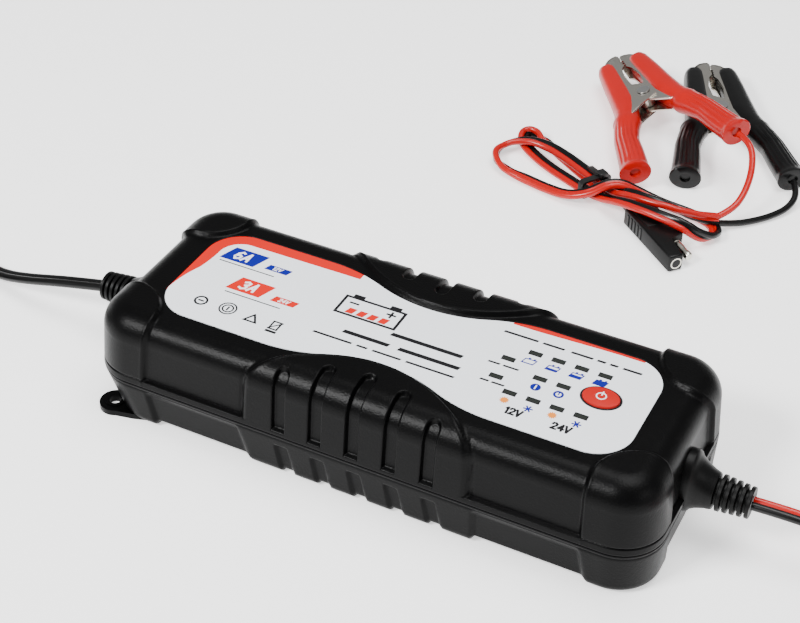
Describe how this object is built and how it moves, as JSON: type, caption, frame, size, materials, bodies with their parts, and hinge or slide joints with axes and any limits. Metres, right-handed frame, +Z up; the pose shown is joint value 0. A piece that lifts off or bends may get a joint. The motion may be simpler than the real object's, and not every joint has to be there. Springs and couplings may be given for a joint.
{
  "type": "car battery charger",
  "caption": "Sealed black battery charger with indicator windows and a mode key, a coiled mains cord, a coiled output lead, and a tied lead with red and black spring clamps.",
  "frame": {"origin": "middle of the housing's flat underside", "axes": "+X towards the DC output end, +Y towards the long side that faces the clamp lead, +Z up"},
  "size_m": [0.56, 0.3624, 0.0458],
  "materials": {
    "housing_plastic": "fine-grained satin black moulded plastic",
    "seal_rubber": "soft black gasket rubber",
    "relief_rubber": "matt black moulded rubber",
    "label_film": "satin cool-white printed film with red bands",
    "rating_film": "satin silver-grey film",
    "key_rubber": "red silicone key",
    "window_plastic": "dark smoked light pipe",
    "led_package": "white surface-mount package",
    "switch_plastic": "black switch body",
    "board": "green solder mask on glass-epoxy board",
    "ribbon": "grey ribbon cable insulation",
    "screw_steel": "zinc-plated steel",
    "ferrite": "sintered dark grey ferrite",
    "winding_tape": "yellow polyester tape over copper",
    "capacitor_can": "dark sleeved aluminium can",
    "heat_sink_aluminium": "plain extruded aluminium",
    "semiconductor": "black moulded epoxy with a tinned tab",
    "choke_copper": "enamelled copper winding",
    "film_capacitor": "yellow potted box",
    "fuse_glass": "clear glass tube with plated caps",
    "relay_plastic": "blue moulded relay cover",
    "wire_insulation": "black wire insulation",
    "cord_black": "semi-gloss black cord jacket",
    "twin_lead": "glossy red and black cores side by side",
    "red_core": "glossy red wire insulation",
    "black_core": "glossy black wire insulation",
    "connector_black": "black moulded connector vinyl",
    "contact_metal": "bright nickel-plated contact",
    "tie_plastic": "black plastic tie",
    "clamp_steel": "bright nickel-plated stamped steel",
    "boot_red": "glossy soft red vinyl",
    "boot_black": "glossy soft black vinyl",
    "spring_steel": "bright spring steel"
  },
  "bodies": {
    "charger": {"black_clamp_fixed_boot": "boot_black", "black_clamp_fixed_jaw": "clamp_steel", "black_clamp_spring": "spring_steel", "bridge_rectifier": "semiconductor", "bulk_capacitor": "capacitor_can", "clamp_lead": "twin_lead", "clamp_lead_black_core": "black_core", "clamp_lead_connector": "connector_black", "clamp_lead_connector_contacts": "contact_metal", "clamp_lead_red_core": "red_core", "clamp_lead_tie": "tie_plastic", "clamp_rivets": "screw_steel", "controller_chip": "semiconductor", "dc_connector": "connector_black", "dc_connector_contacts": "contact_metal", "dc_lead": "twin_lead", "dc_lead_coil": "twin_lead", "dc_lead_tie": "tie_plastic", "dc_strain_relief": "relief_rubber", "display_pcb": "board", "display_ribbon": "ribbon", "housing_screws": "screw_steel", "housing_seal": "seal_rubber", "internal_wires": "wire_insulation", "label_overlay": "label_film", "led_windows": "window_plastic", "line_choke": "choke_copper", "line_fuse": "fuse_glass", "lower_housing": "housing_plastic", "main_pcb": "board", "mains_cord": "cord_black", "mains_cord_coil": "cord_black", "mains_cord_tie": "tie_plastic", "mains_plug": "connector_black", "mains_plug_blades": "contact_metal", "mains_strain_relief": "relief_rubber", "output_capacitors": "capacitor_can", "output_choke": "choke_copper", "output_heat_sink": "heat_sink_aluminium", "output_rectifier": "semiconductor", "output_relay": "relay_plastic", "pcb_screws": "screw_steel", "primary_heat_sink": "heat_sink_aluminium", "rating_label": "rating_film", "red_clamp_fixed_boot": "boot_red", "red_clamp_fixed_jaw": "clamp_steel", "red_clamp_spring": "spring_steel", "status_leds": "led_package", "switching_transistor": "semiconductor", "tact_switch": "switch_plastic", "transformer_core": "ferrite", "transformer_winding": "winding_tape", "upper_housing": "housing_plastic", "x_capacitor": "film_capacitor"},
    "mode_button": {"mode_button": "key_rubber"},
    "red_clamp_arm": {"red_clamp_moving_jaw": "clamp_steel", "red_clamp_moving_boot": "boot_red"},
    "black_clamp_arm": {"black_clamp_moving_jaw": "clamp_steel", "black_clamp_moving_boot": "boot_black"}
  },
  "joints": [
    {"name": "mode_button_press", "type": "slide", "parent": "charger", "child": "mode_button", "axis": [0, 0, -1], "range_m": [0, 0.0005], "stiffness_N_per_m": 2500},
    {"name": "red_clamp_hinge", "type": "hinge", "parent": "charger", "child": "red_clamp_arm", "pos_m": [0.00274, 0.24925, 0.0127], "axis": [-0.3073, -0.1355, 0.9419], "range_deg": [0, 24], "stiffness_Nm_per_rad": 0.6, "springref_deg": -20.05},
    {"name": "black_clamp_hinge", "type": "hinge", "parent": "charger", "child": "black_clamp_arm", "pos_m": [0.03536, 0.2645, 0.0057], "axis": [0, 0, 1], "range_deg": [0, 24], "stiffness_Nm_per_rad": 0.6, "springref_deg": -20.05}
  ]
}
